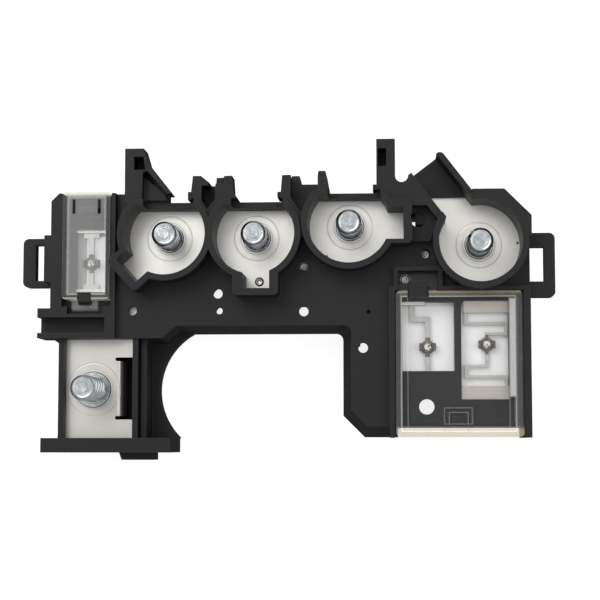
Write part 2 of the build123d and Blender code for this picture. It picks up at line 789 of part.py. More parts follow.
def lid_recesses():
    """Make the spaces cut for the lids and their loops."""
    top = frame_front + cut_through
    loop_floor = loop_z - loop_radius - hook_clearance
    cuts = []
    x0, x1, y0, y1 = left_lid
    gap = lid_clearance
    cuts.append(block(x0 - gap, x1 + gap, y0 - gap, y1 + 5, recess_floor, top))
    cuts.append(block(x0 - gap, x1 + gap, y0 - swing_room, y0, loop_floor, top))
    x0, x1 = left_loop_x
    margin_left, margin_right = left_recess_margins
    cuts.append(block(x0 - margin_left, x1 + margin_right, left_loop_y - loop_radius - loop_recess,
                      left_lid[2], loop_floor, top))
    x0, x1, y0, y1 = right_lid
    cuts.append(block(x0 - gap, x1 + gap, y0 - 5, y1 + gap, recess_floor, top))
    x0, x1 = right_loop_x
    cuts.append(block(x0 - gap, x1 + gap, right_lid[3] - 1, right_loop_y[1] + loop_recess, loop_floor, top))
    return cuts


def left_hook():
    """Make the hook that holds the left lid's loop; its nose reaches over the bar."""
    throat = loop_radius + hook_clearance
    face = left_loop_y + throat
    nose = loop_z + throat
    tip = left_loop_y + loop_radius - nose_cover
    back = face + left_hook_depth
    points = [(face, recess_floor - 1), (face, nose), (tip, nose), (tip, nose + hook_tip),
              (face, nose + hook_nose), (back, nose + hook_nose), (back, recess_floor - 1)]
    profile = make_face(Polyline(*[(0, y, z) for y, z in points], close=True))
    x0, x1 = left_hook_x
    return Pos(x0, 0, 0) * extrude(profile, amount=x1 - x0, dir=(1, 0, 0))


def right_hook():
    """Make the block inside the right lid's loop; its nose stops short of the bar, which lifts past it."""
    face = right_loop_y[0] - hook_clearance
    nose = loop_z + loop_radius + hook_clearance
    x0, x1 = right_hook_x
    return block(x0, x1, face - right_hook_depth, face, recess_floor - 1, nose + hook_nose)


def catches():
    """Make the catches on the carrier that the left lid's tongue and the right lid's rib snap over."""
    middle = (left_lid[0] + left_lid[1]) / 2
    top = left_lid[3] - catch_from_top
    under_lid = lid_front - lid_wall - lid_clearance
    half = snap_catch_width / 2
    return [
        block(middle - catch_width / 2, middle + catch_width / 2, top - catch_length, top,
              recess_floor - 1, under_lid),
        block(snap_x - half, snap_x + half, leg_end, leg_end + snap_catch_length, recess_floor - 1,
              recess_floor + snap_catch_height),
    ]


def back_ribs(inner):
    """Make the stiffening ribs behind the skin, inside the skirt."""
    ribs = []
    rib_front = bar_front + overlap
    x = rib_start
    while x < right_edge - 6:
        ribs.append(block(x - rib_wall / 2, x + rib_wall / 2, -past_part, past_part, rib_back, rib_front))
        x += rib_pitch
    for y in rib_rows:
        ribs.append(block(-past_part, past_part, y - rib_wall / 2, y + rib_wall / 2, rib_back, rib_front))
    return (ribs[0] + ribs[1:]) & inner


def carrier_webs(inner):
    """Make the web that carries the bars, a margin wider than they are."""
    m = bar_margin
    high = bar_front + overlap
    end_right = window_3[1] + bar_margin / 2 + m
    arm_left = third.x + third.reach - outlet_3_inset
    webs = [
        block(bay_left, bay_plate_right + m, block_bottom, window_1[2] + m, web_back, high),
        block(bay_plate_right - m, leg_run_right + m, run_low - m, run_high + m, web_back, high),
        rivet_ear_block(rivet_ear + m, web_back, high),
        block(leg_run_left - m, leg_run_right + m, end_run_bottom - m, run_high + m, web_back, high),
        block(leg_run_left - m, end_right, end_run_bottom - m, window_2[2] + m, web_back, high),
        block(window_1[0] - m, first.x, window_1[3] - m, first.y + first.sill + m, web_back, high),
        block(arm_left - m, arm_left + outlet_3_width + m, -m, third.y, web_back, high),
        block(window_3[0] - m, window_3[1] + m + arm_overhang, -m, fourth.y, web_back, high),
    ]
    return (webs[0] + webs[1:]) & inner


def stud_wells():
    """Make the spaces behind the bars for the studs' heads."""
    room = 2 * well_clearance
    wells = [hexagon(tall_x, tall_y, tall_head_flats + room, open_back, bar_back)]
    for pocket in pockets:
        wells.append(hexagon(pocket.x, pocket.y, short_head_flats + room, open_back, bar_back))
    return wells


def small_holes():
    """Make the cutters for the studs' shanks, the pin holes, the sight hole and the rivets."""
    top = frame_front + cut_through
    holes = []
    for x, y, radius in tooling_holes:
        flare = Cone(radius + pin_flare, radius, skin_front - web_back)
        holes.append(disc(x, y, radius, skin_front - overlap, top))
        holes.append(Pos(x, y, (skin_front + web_back) / 2) * flare)
        holes.append(disc(x, y, radius + pin_flare, open_back, web_back))
    holes.append(disc(tall_x, tall_y, stud_radius, open_back, bar_front))
    for pocket in pockets:
        holes.append(disc(pocket.x, pocket.y, stud_radius, open_back, bar_front + overlap))
    x, y, radius = sight_hole
    holes.append(disc(x, y, radius, bar_front, top))
    x, y, radius = blind_hole
    holes.append(disc(x, y, radius, skin_front - blind_depth, top))
    x, y, radius = ledge_hole
    hook = block(*ledge_hook, web_back, ledge_front - 1)
    holes.append(disc(x, y, radius, open_back, open_front) - hook)
    for x, y in battery_rivets + outlet_rivets:
        holes.append(disc(x, y, rivet_head_radius + rivet_clearance, bar_front, top))
        holes.append(disc(x, y, rivet_radius, through_web, bar_front + overlap))
        holes.append(disc(x, y, rivet_head_radius + rivet_clearance, open_back, web_back))
    return holes


def housing(bars):
    """Make the black carrier as one moulding round the bars."""
    inner = drafted(skirt_wall, open_back, bar_front)
    shell = drafted(0, 0, skin_front) - inner
    bosses = []
    for pocket in pockets:
        flats = short_head_flats + 2 * (well_clearance + well_wall)
        bosses.append(hexagon(pocket.x, pocket.y, flats, bar_back - well_depth, bar_back))
    for window in (window_1, window_2, window_3):
        bosses.append(window_block(window, window_wall, 0, bar_front + overlap))
    shell = shell + ([carrier_webs(inner), back_ribs(inner)] + bosses)
    shell = shell + (pocket_walls() + towers() + bay_walls() + side_channel() + lid_frames() + handles())
    windows = [window_block(window, 0, open_back, open_front) for window in (window_1, window_2, window_3)]
    slot = block(lug_left - 1, channel_right, channel_bottom, channel_top, channel_floor, frame_front + 1)
    shell = shell - (stud_wells() + pocket_spaces() + tower_cuts() + lid_recesses() + windows + [slot])
    pins = [disc(x, y, radius + pin_room, web_back, recess_floor) for x, y, radius in tooling_holes]
    shell = shell + (pins + catches() + [left_hook(), right_hook()])
    shell = shell - bars
    return shell - small_holes()


# Clear lids

def lid_shell(lid, skirt_back):
    """Make a lid's plate with its skirt on all four sides."""
    x0, x1, y0, y1 = lid
    shell = block(x0, x1, y0, y1, skirt_back, lid_front)
    shell = fillet(shell.edges().filter_by(Axis.Z), lid_corner)
    return shell - block(x0 + lid_wall, x1 - lid_wall, y0 + lid_wall, y1 - lid_wall, skirt_back - 1,
                         lid_front - lid_wall)


def loop_arms(x_range, loop_y, edge_y, hook_x):
    """Make the two arms that join a lid's edge to the far side of its loop."""
    x0, x1 = x_range
    low_y, high_y = min(loop_y, edge_y), max(loop_y, edge_y)
    rise_low, rise_high = (high_y - arm_rise, high_y) if edge_y > loop_y else (low_y, low_y + arm_rise)
    pieces = []
    for a, b in ((x0, hook_x[0] - hook_clearance), (hook_x[1] + hook_clearance, x1)):
        pieces.append(block(a, b, low_y, high_y, loop_z - loop_radius, loop_z + loop_radius))
        pieces.append(block(a, b, rise_low, rise_high, loop_z - loop_radius, lid_front - lid_wall / 2))
    return pieces


def hook_notch(hook_x, y0, y1, skirt_back):
    """Make the notch in a lid's edge that clears the carrier's hook."""
    x0, x1 = hook_x
    return block(x0 - hook_clearance, x1 + hook_clearance, y0, y1, skirt_back - 1, lid_front + 1)


def fuse_lid_left():
    """Make the left lid, hinged on its lower loop, with a snap tongue at its top."""
    x0, x1, y0, y1 = left_lid
    skirt_back = recess_floor + lid_clearance
    loop_left, loop_right = left_loop_x
    pivot = Pos((loop_left + loop_right) / 2, left_loop_y, loop_z) * Rot(0, 90, 0)
    pivot = pivot * Cylinder(loop_radius, loop_right - loop_left)
    arms = loop_arms(left_loop_x, left_loop_y, y0 + lid_wall, left_hook_x)
    lid = lid_shell(left_lid, skirt_back) + ([pivot] + arms)
    hook_back = left_loop_y + loop_radius + hook_clearance + left_hook_depth
    cuts = [hook_notch(left_hook_x, y0 - 1, hook_back + left_hook_room, skirt_back)]
    middle = (x0 + x1) / 2
    top = y1 - tongue_from_top
    for side in (-1, 1):
        slot_x = middle + side * tongue_width / 2
        cuts.append(block(slot_x - tongue_slot / 2, slot_x + tongue_slot / 2, top - tongue_length, top,
                          lid_front - lid_wall - 1, lid_front + 1))
    return lid - cuts


def fuse_lid_right():
    """Make the right lid, which lifts off, with a lip over the leg's end, a snap rib and two ribs."""
    x0, x1, y0, y1 = right_lid
    skirt_back = recess_floor + lid_clearance
    plate_back = lid_front - lid_wall
    lip = block(x0 + lid_corner, x1 - lid_corner, y0, y0 + lid_wall, skirt_back - lip_drop, skirt_back + 1)
    snap_left, snap_right = snap_x - snap_width / 2, snap_x + snap_width / 2
    snap = block(snap_left, snap_right, y0 + lid_wall / 2, snap_top, skirt_back, plate_back + lid_wall / 2)
    inside = block(snap_left + lid_wall, snap_right - lid_wall, y0 + lid_wall, snap_top - lid_wall,
                   skirt_back - 1, plate_back)
    ribs = [block(*rib, plate_back - lid_rib_drop, plate_back + lid_wall / 2)
            for rib in (lid_rib_left, lid_rib_right)]
    loop_low, loop_high = right_loop_y
    band = block(*right_loop_x, loop_low, loop_high, loop_z - loop_radius, loop_z + loop_radius)
    loop = [band] + loop_arms(right_loop_x, loop_low, y1 - lid_wall, right_hook_x)
    lid = lid_shell(right_lid, skirt_back) + (loop + ribs + [lip, snap - inside])
    hook_back = loop_low - hook_clearance - right_hook_depth
    return lid - hook_notch(right_hook_x, hook_back - hook_clearance, loop_low, skirt_back)


def main():
    """Build every node and write it to its own file."""
    battery_bar = battery_bus_bar()
    bar_1 = outlet_bar_1()
    bar_3 = outlet_bar_3()
    bar_4 = outlet_bar_4()
    nodes = {
        "housing": housing([battery_bar, bar_1, bar_3, bar_4]),
        "battery_bus_bar": battery_bar,
        "outlet_bar_1": bar_1,
        "outlet_bar_3": bar_3,
        "outlet_bar_4": bar_4,
        "fuse_link_1": fuse_link_1(),
        "fuse_link_2": fuse_link_2(),
        "fuse_link_3": fuse_link_3(),
        "fuse_lid_left": fuse_lid_left(),
        "fuse_lid_right": fuse_lid_right(),
        "battery_stud_m8": stud(tall_x, tall_y, tall_above_bar, tall_head_flats, tall_head_height,
                                tall_collar_overhang),
    }
    for number, place in enumerate((pellet_1, pellet_2, pellet_3), start=1):
        nodes[f"tin_pellet_{number}"] = tin_pellet(place)
    for number, pocket in enumerate(pockets, start=1):
        nodes[f"outlet_stud_m8_{number}"] = stud(pocket.x, pocket.y, short_above_bar, short_head_flats,
                                                 short_head_height, short_collar_overhang)
    for number, (x, y) in enumerate(battery_rivets + outlet_rivets, start=1):
        nodes[f"bar_rivet_{number}"] = rivet(x, y)
    os.makedirs("parts", exist_ok=True)
    for name, shape in nodes.items():
        export_step(shape, f"parts/{name}.step")


main()
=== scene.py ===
"""Looks of a battery terminal fuse block: black carrier, tinned bars, studs and clear lids."""

import json
import logging
import math
from dataclasses import dataclass
from enum import Enum

import bmesh
import bpy
from mathutils import Matrix, Vector

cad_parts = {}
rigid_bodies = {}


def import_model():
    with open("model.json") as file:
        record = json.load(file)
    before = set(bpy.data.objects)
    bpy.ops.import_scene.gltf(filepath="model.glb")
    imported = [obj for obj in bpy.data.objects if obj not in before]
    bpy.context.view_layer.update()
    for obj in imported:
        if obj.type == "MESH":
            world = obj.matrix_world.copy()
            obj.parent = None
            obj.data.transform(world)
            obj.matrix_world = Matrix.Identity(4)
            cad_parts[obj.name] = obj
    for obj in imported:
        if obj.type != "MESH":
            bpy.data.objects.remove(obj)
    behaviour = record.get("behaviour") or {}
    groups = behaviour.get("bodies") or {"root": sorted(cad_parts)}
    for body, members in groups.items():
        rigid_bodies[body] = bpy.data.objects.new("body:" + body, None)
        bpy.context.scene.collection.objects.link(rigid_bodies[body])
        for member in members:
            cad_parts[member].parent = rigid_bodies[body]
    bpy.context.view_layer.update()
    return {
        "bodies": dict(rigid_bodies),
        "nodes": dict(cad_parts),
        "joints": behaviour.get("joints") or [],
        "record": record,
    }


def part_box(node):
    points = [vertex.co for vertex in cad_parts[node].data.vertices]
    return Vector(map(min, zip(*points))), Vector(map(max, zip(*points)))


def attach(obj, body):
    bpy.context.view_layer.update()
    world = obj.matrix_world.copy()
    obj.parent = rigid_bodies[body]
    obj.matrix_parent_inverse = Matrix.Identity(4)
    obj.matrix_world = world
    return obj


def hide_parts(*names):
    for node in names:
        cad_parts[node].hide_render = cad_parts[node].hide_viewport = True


MM = 0.001
LOG = logging.getLogger("fuse_block")

Socket = bpy.types.NodeSocket
Tree = bpy.types.NodeTree
Place = tuple[float, float]
Area = tuple[float, float, float, float]

# Places are on the face, in millimetres. An area is left, right, bottom and top.
OUTLET_PLACES: tuple[Place, ...] = ((-37.1, 20.3), (-9.5, 20.3), (19.9, 23.6), (60.2, 17.6))
BATTERY_PLACE: Place = (-61.0, -27.3)
BAR_FRONT = 18.0 * MM


def linear(code: str, alpha: float = 1.0) -> tuple[float, float, float, float]:
    """Turn an sRGB hex colour into linear values.

    Args:
        code: Colour such as "C8C4BB".
        alpha: Opacity to add as the fourth value.

    Returns:
        Red, green, blue and alpha, in linear light.
    """
    channels = []
    for start in (0, 2, 4):
        value = int(code[start:start + 2], 16) / 255
        channels.append(value / 12.92 if value <= 0.04045 else ((value + 0.055) / 1.055) ** 2.4)
    return (*channels, alpha)


def add_node(tree: Tree, kind: str, inputs: dict | None = None, **settings: object) -> bpy.types.Node:
    """Add a node with its settings, values and links.

    Args:
        tree: Node tree to add to.
        kind: Blender's name of the node type.
        inputs: Socket name or number to a value or to an output socket.
        **settings: Properties of the node itself.

    Returns:
        The new node.
    """
    node = tree.nodes.new(kind)
    for name, value in settings.items():
        setattr(node, name, value)
    for key, value in (inputs or {}).items():
        if isinstance(value, Socket):
            tree.links.new(value, node.inputs[key])
        else:
            node.inputs[key].default_value = value
    return node


def per_metre(size_mm: float) -> float:
    """Give the pattern scale that makes one feature this many millimetres wide."""
    return 1 / (size_mm * MM)


def blank_material(name: str) -> tuple[bpy.types.Material, Tree, Socket]:
    """Make an empty material that reads object coordinates.

    Args:
        name: Name of the real material.

    Returns:
        The material, its node tree and the object coordinate socket.
    """
    material = bpy.data.materials.new(name)
    material.use_nodes = True
    tree = material.node_tree
    tree.nodes.clear()
    place = add_node(tree, "ShaderNodeTexCoord")
    return material, tree, place.outputs["Object"]


def close_material(tree: Tree, shader: bpy.types.Node) -> None:
    """Join a shader to the material's output.

    Args:
        tree: Node tree of the material.
        shader: Shader node whose first output is shown.
    """
    add_node(tree, "ShaderNodeOutputMaterial", {"Surface": shader.outputs[0]})


def flat_distance(tree: Tree, place: Socket, points: tuple[Place, ...]) -> Socket:
    """Measure the distance across the face to the nearest of some points.

    Args:
        tree: Node tree of the material.
        place: Object coordinates.
        points: Places on the face, in millimetres.

    Returns:
        Socket with the distance in metres.
    """
    flat = add_node(tree, "ShaderNodeVectorMath", {0: place, 1: (1.0, 1.0, 0.0)}, operation="MULTIPLY")
    nearest = None
    for x, y in points:
        gap = add_node(tree, "ShaderNodeVectorMath", {0: flat.outputs["Vector"], 1: (x * MM, y * MM, 0.0)},
                       operation="DISTANCE").outputs["Value"]
        nearest = gap if nearest is None else larger_or_smaller(tree, "MINIMUM", nearest, gap)
    return nearest


def line_mask(tree: Tree, distance: Socket, at_mm: float, half_mm: float) -> Socket:
    """Mark a soft-edged line where a distance has a given value.

    Args:
        tree: Node tree of the material.
        distance: Distance in metres.
        at_mm: Distance at the middle of the line, in millimetres.
        half_mm: Half the line's width, in millimetres.

    Returns:
        Socket that is 1 on the line and 0 away from it.
    """
    offset = add_node(tree, "ShaderNodeMath", {0: distance, 1: at_mm * MM}, operation="SUBTRACT")
    away = add_node(tree, "ShaderNodeMath", {0: offset.outputs[0]}, operation="ABSOLUTE")
    return fade(tree, away.outputs[0], half_mm * MM * 0.6, half_mm * MM * 1.4, 1.0, 0.0)


def fade(tree: Tree, value: Socket, low: float, high: float, at_low: float, at_high: float) -> Socket:
    """Turn a value into another that runs evenly between two levels and stays level beyond them.

    Args:
        tree: Node tree of the material.
        value: Socket to read.
        low: Value at the start of the run.
        high: Value at the end of the run.
        at_low: Result at the start and before it.
        at_high: Result at the end and past it.

    Returns:
        Socket with the result.
    """
    return add_node(tree, "ShaderNodeMapRange", {"Value": value, "From Min": low, "From Max": high,
                                                 "To Min": at_low, "To Max": at_high}).outputs["Result"]


def near_points(tree: Tree, place: Socket, points: tuple[Place, ...], reach_mm: tuple[float, float],
                strength: float) -> Socket:
    """Mark round patches on the face that fade out at their edges.

    Args:
        tree: Node tree of the material.
        place: Object coordinates.
        points: Middle of each patch, in millimetres.
        reach_mm: Radius where a patch starts to fade and where it ends, in millimetres.
        strength: Value in the middle of a patch.

    Returns:
        Socket with the mask.
    """
    return fade(tree, flat_distance(tree, place, points), reach_mm[0] * MM, reach_mm[1] * MM, strength, 0.0)


def larger_or_smaller(tree: Tree, operation: str, first: Socket, second: Socket) -> Socket:
    """Keep the larger or the smaller of two values.

    Args:
        tree: Node tree of the material.
        operation: MAXIMUM or MINIMUM.
        first: One value.
        second: The other value.

    Returns:
        Socket with the kept value.
    """
    return add_node(tree, "ShaderNodeMath", {0: first, 1: second}, operation=operation).outputs[0]


def blend_colour(tree: Tree, share: Socket, first: object, second: object) -> Socket:
    """Blend two colours by a mask.

    Args:
        tree: Node tree of the material.
        share: Mask that is 1 where the second colour shows.
        first: Colour or socket shown where the mask is 0.
        second: Colour or socket shown where the mask is 1.

    Returns:
        Socket with the blended colour.
    """
    return add_node(tree, "ShaderNodeMix", {0: share, 6: first, 7: second}, data_type="RGBA").outputs[2]


@dataclass(frozen=True)
class MouldedNylon:
    """Glass-filled nylon, moulded in a spark-eroded tool: satin black, fine grain, and edges painted paler
    as a highlight.
    """

    name: str = "glass_filled_nylon"
    dark: str = "0F0F10"
    light: str = "19191A"
    edge_highlight: str = "3C3C3D"
    grain_mm: float = 0.35
    flow_mm: float = 14.0
    edge_mm: float = 0.28

    def make(self) -> bpy.types.Material:
        """Build the material."""
        material, tree, place = blank_material(self.name)
        flow = add_node(tree, "ShaderNodeTexNoise", {"Vector": place, "Scale": per_metre(self.flow_mm),
                                                     "Detail": 5.0, "Roughness": 0.65})
        body = blend_colour(tree, flow.outputs["Fac"], linear(self.dark), linear(self.light))
        edge = add_node(tree, "ShaderNodeBevel", {"Radius": self.edge_mm * MM}, samples=4)
        face = add_node(tree, "ShaderNodeNewGeometry")
        normals = {0: edge.outputs["Normal"], 1: face.outputs["Normal"]}
        level = add_node(tree, "ShaderNodeVectorMath", normals, operation="DOT_PRODUCT")
        # Painted highlight: the colour turns paler along the rounded edges.
        edge_highlight_share = fade(tree, level.outputs["Value"], 0.82, 0.99, 0.85, 0.0)
        tone = blend_colour(tree, edge_highlight_share, body, linear(self.edge_highlight))
        gloss = fade(tree, flow.outputs["Fac"], 0.3, 0.7, 0.46, 0.58)
        grain = add_node(tree, "ShaderNodeTexNoise", {"Vector": place, "Scale": per_metre(self.grain_mm),
                                                      "Detail": 2.0})
        bump = add_node(tree, "ShaderNodeBump", {"Height": grain.outputs["Fac"], "Strength": 0.4,
                                                 "Distance": 0.03 * MM, "Normal": edge.outputs["Normal"]})
        shader = add_node(tree, "ShaderNodeBsdfPrincipled", {
            "Base Color": tone, "Roughness": gloss, "IOR": 1.53,
            "Specular IOR Level": 0.21, "Normal": bump.outputs["Normal"]})
        close_material(tree, shader)
        return material


@dataclass(frozen=True)
class TinnedCopper:
    """Matt tin plating on punched copper: warm light grey, cloudy, with coined rings round the studs; the
    ring grooves, the bar ends in the third window and the bay round the tall stud are darkened with painted
    shade.
    """

    name: str = "tin_plated_copper"
    dark: str = "C6C3BD"
    light: str = "D8D6D1"
    ring_groove_shade: str = "9C9892"
    nub_shade: str = "2A2826"
    window_end_painted_shade: str = "9A938A"
    bay_painted_shade: str = "A5A29C"
    rim_shade: str = "141312"
    cloud_mm: float = 5.0
    roll_mm: float = 0.25
    short_ring_radii_mm: tuple[float, float] = (5.0, 7.1)
    tall_ring_radii_mm: tuple[float, float] = (6.1, 8.3)
    ring_half_mm: float = 0.14
    nub_mm: float = 0.38
    window_end_shade_reach_mm: tuple[float, float] = (4.6, 5.6)
    bay_shade_reach_mm: tuple[float, float] = (18.0, 24.0)
    rim_radius_mm: float = 1.2
    rim_half_mm: float = 0.3
    nubs: tuple[Place, ...] = ((12.6, 14.4), (72.2, 18.2))
    window_ends: tuple[Place, ...] = ((58.0, -3.0), (66.0, -3.0), (58.0, -29.5), (66.0, -29.5))
    dark_rims: tuple[Place, ...] = ()

    def rings(self, tree: Tree, place: Socket) -> Socket:
        """Mark the rings that the press leaves round each stud.

        Args:
            tree: Node tree of the material.
            place: Object coordinates.

        Returns:
            Socket that is 1 on the rings.
        """
        mask = None
        groups = ((OUTLET_PLACES, self.short_ring_radii_mm), ((BATTERY_PLACE,), self.tall_ring_radii_mm))
        for studs, radii in groups:
            distance = flat_distance(tree, place, studs)
            for radius in radii:
                ring = line_mask(tree, distance, radius, self.ring_half_mm)
                mask = ring if mask is None else larger_or_smaller(tree, "MAXIMUM", mask, ring)
        return mask

    def make(self) -> bpy.types.Material:
        """Build the material."""
        material, tree, place = blank_material(self.name)
        cloud = add_node(tree, "ShaderNodeTexNoise", {"Vector": place, "Scale": per_metre(self.cloud_mm),
                                                      "Detail": 6.0, "Roughness": 0.65})
        stretch = add_node(tree, "ShaderNodeMapping", {"Vector": place, "Scale": (0.06, 1.0, 1.0)})
        roll = add_node(tree, "ShaderNodeTexNoise", {"Vector": stretch.outputs["Vector"],
                                                     "Scale": per_metre(self.roll_mm), "Detail": 3.0})
        rings = self.rings(tree, place)
        faint = add_node(tree, "ShaderNodeMath", {0: rings, 1: 0.4}, operation="MULTIPLY")
        plate = blend_colour(tree, cloud.outputs["Fac"], linear(self.dark), linear(self.light))
        # Painted shade: the ring grooves are darkened.
        groove_shaded = blend_colour(tree, faint.outputs[0], plate, linear(self.ring_groove_shade))
        nub = line_mask(tree, flat_distance(tree, place, self.nubs), 0.0, self.nub_mm)
        # Painted shade: the bar ends in the third window are darker.
        window_end_shade_share = near_points(tree, place, self.window_ends, self.window_end_shade_reach_mm, 0.75)
        # Painted shade: the open bay round the tall stud is darkened.
        bay = near_points(tree, place, (BATTERY_PLACE,), self.bay_shade_reach_mm, 0.6)
        open_plate = blend_colour(tree, bay, groove_shaded, linear(self.bay_painted_shade))
        ends = blend_colour(tree, window_end_shade_share, open_plate, linear(self.window_end_painted_shade))
        tone = blend_colour(tree, nub, ends, linear(self.nub_shade))
        if self.dark_rims:
            rim = line_mask(tree, flat_distance(tree, place, self.dark_rims), self.rim_radius_mm,
                            self.rim_half_mm)
            tone = blend_colour(tree, rim, tone, linear(self.rim_shade))
        gloss = fade(tree, cloud.outputs["Fac"], 0.3, 0.7, 0.32, 0.42)
        edge = add_node(tree, "ShaderNodeBevel", {"Radius": 0.12 * MM}, samples=4)
        groove = add_node(tree, "ShaderNodeBump", {"Height": rings, "Strength": 0.5, "Distance": 0.06 * MM,
                                                   "Normal": edge.outputs["Normal"]}, invert=True)
        bump = add_node(tree, "ShaderNodeBump", {"Height": roll.outputs["Fac"], "Strength": 0.12,
                                                 "Distance": 0.01 * MM, "Normal": groove.outputs["Normal"]})
        shader = add_node(tree, "ShaderNodeBsdfPrincipled", {
            "Base Color": tone, "Metallic": 0.85, "Roughness": gloss,
            "Normal": bump.outputs["Normal"]})
        close_material(tree, shader)
        return material


@dataclass(frozen=True)
class TinnedStrip:
    """Thin tinned link strip: duller than the plates, with painted shade on its wings round the pellet."""

    name: str = "tin_plated_link_strip"
    dark: str = "9A9997"
    light: str = "B4B3B1"
    wing_shade: str = "555351"
    cloud_mm: float = 2.0
    grip_reach_mm: tuple[float, float] = (2.9, 3.3)
    pellets: tuple[Place, ...] = ((-62.2, 12.6), (44.0, -14.3), (62.4, -13.5))

    def make(self) -> bpy.types.Material:
        """Build the material."""
        material, tree, place = blank_material(self.name)
        cloud = add_node(tree, "ShaderNodeTexNoise", {"Vector": place, "Scale": per_metre(self.cloud_mm),
                                                      "Detail": 5.0})
        strip = blend_colour(tree, cloud.outputs["Fac"], linear(self.dark), linear(self.light))
        wings = near_points(tree, place, self.pellets, self.grip_reach_mm, 1.0)
        patch = add_node(tree, "ShaderNodeMath", {0: wings, 1: cloud.outputs["Fac"]}, operation="MULTIPLY")
        # Painted shade: the wings round each pellet are darkened.
        wing_shade_share = fade(tree, patch.outputs[0], 0.15, 0.45, 0.0, 1.0)
        tone = blend_colour(tree, wing_shade_share, strip, linear(self.wing_shade))
        edge = add_node(tree, "ShaderNodeBevel", {"Radius": 0.15 * MM}, samples=4)
        shader = add_node(tree, "ShaderNodeBsdfPrincipled", {
            "Base Color": tone, "Metallic": 0.4, "Roughness": 0.48, "Normal": edge.outputs["Normal"]})
        close_material(tree, shader)
        return material


@dataclass(frozen=True)
class CastTin:
    """Cast tin pellet squeezed by its wings: bright and lumpy, with painted shade in its creases and painted
    highlights on its crowns.
    """

    name: str = "cast_tin"
    crease_shade: str = "4E4B48"
    crown: str = "CFC8BF"
    lump_mm: float = 0.7

    def make(self) -> bpy.types.Material:
        """Build the material."""
        material, tree, place = blank_material(self.name)
        lump = add_node(tree, "ShaderNodeTexNoise", {"Vector": place, "Scale": per_metre(self.lump_mm),
                                                     "Detail": 3.0})
        # Painted shade and highlight: dark in the hollows of the lumps and pale on their tops.
        share = fade(tree, lump.outputs["Fac"], 0.38, 0.55, 0.0, 1.0)
        tone = blend_colour(tree, share, linear(self.crease_shade), linear(self.crown))
        bump = add_node(tree, "ShaderNodeBump", {"Height": lump.outputs["Fac"], "Strength": 0.6,
                                                 "Distance": 0.2 * MM})
        shader = add_node(tree, "ShaderNodeBsdfPrincipled", {
            "Base Color": tone, "Metallic": 0.6, "Roughness": 0.35, "Normal": bump.outputs["Normal"]})
        close_material(tree, shader)
        return material


@dataclass(frozen=True)
class ZincSteel:
    """Bright zinc plating on turned steel: hard highlights, a faint blue cast and fine turning rings."""

    name: str = "zinc_plated_steel"
    dark: str = "8A8E90"
    light: str = "CDD0D1"
    spot_mm: float = 1.6
    turning_mm: float = 0.55
    rough: float = 0.19

    def make(self) -> bpy.types.Material:
        """Build the material."""
        material, tree, place = blank_material(self.name)
        spot = add_node(tree, "ShaderNodeTexNoise", {"Vector": place, "Scale": per_metre(self.spot_mm),
                                                     "Detail": 5.0})
        tone = blend_colour(tree, spot.outputs["Fac"], linear(self.dark), linear(self.light))
        gloss = fade(tree, spot.outputs["Fac"], 0.3, 0.7, self.rough - 0.05, self.rough + 0.1)
        distance = flat_distance(tree, place, (*OUTLET_PLACES, BATTERY_PLACE))
        phase = add_node(tree, "ShaderNodeMath", {0: distance, 1: 2 * math.pi * per_metre(self.turning_mm)},
                         operation="MULTIPLY")
        wave = add_node(tree, "ShaderNodeMath", {0: phase.outputs[0]}, operation="SINE")
        turned = add_node(tree, "ShaderNodeBump", {"Height": wave.outputs[0], "Strength": 0.25,
                                                   "Distance": 0.02 * MM})
        shader = add_node(tree, "ShaderNodeBsdfPrincipled", {
            "Base Color": tone, "Metallic": 1.0, "Roughness": gloss,
            "Normal": turned.outputs["Normal"]})
        close_material(tree, shader)
        return material


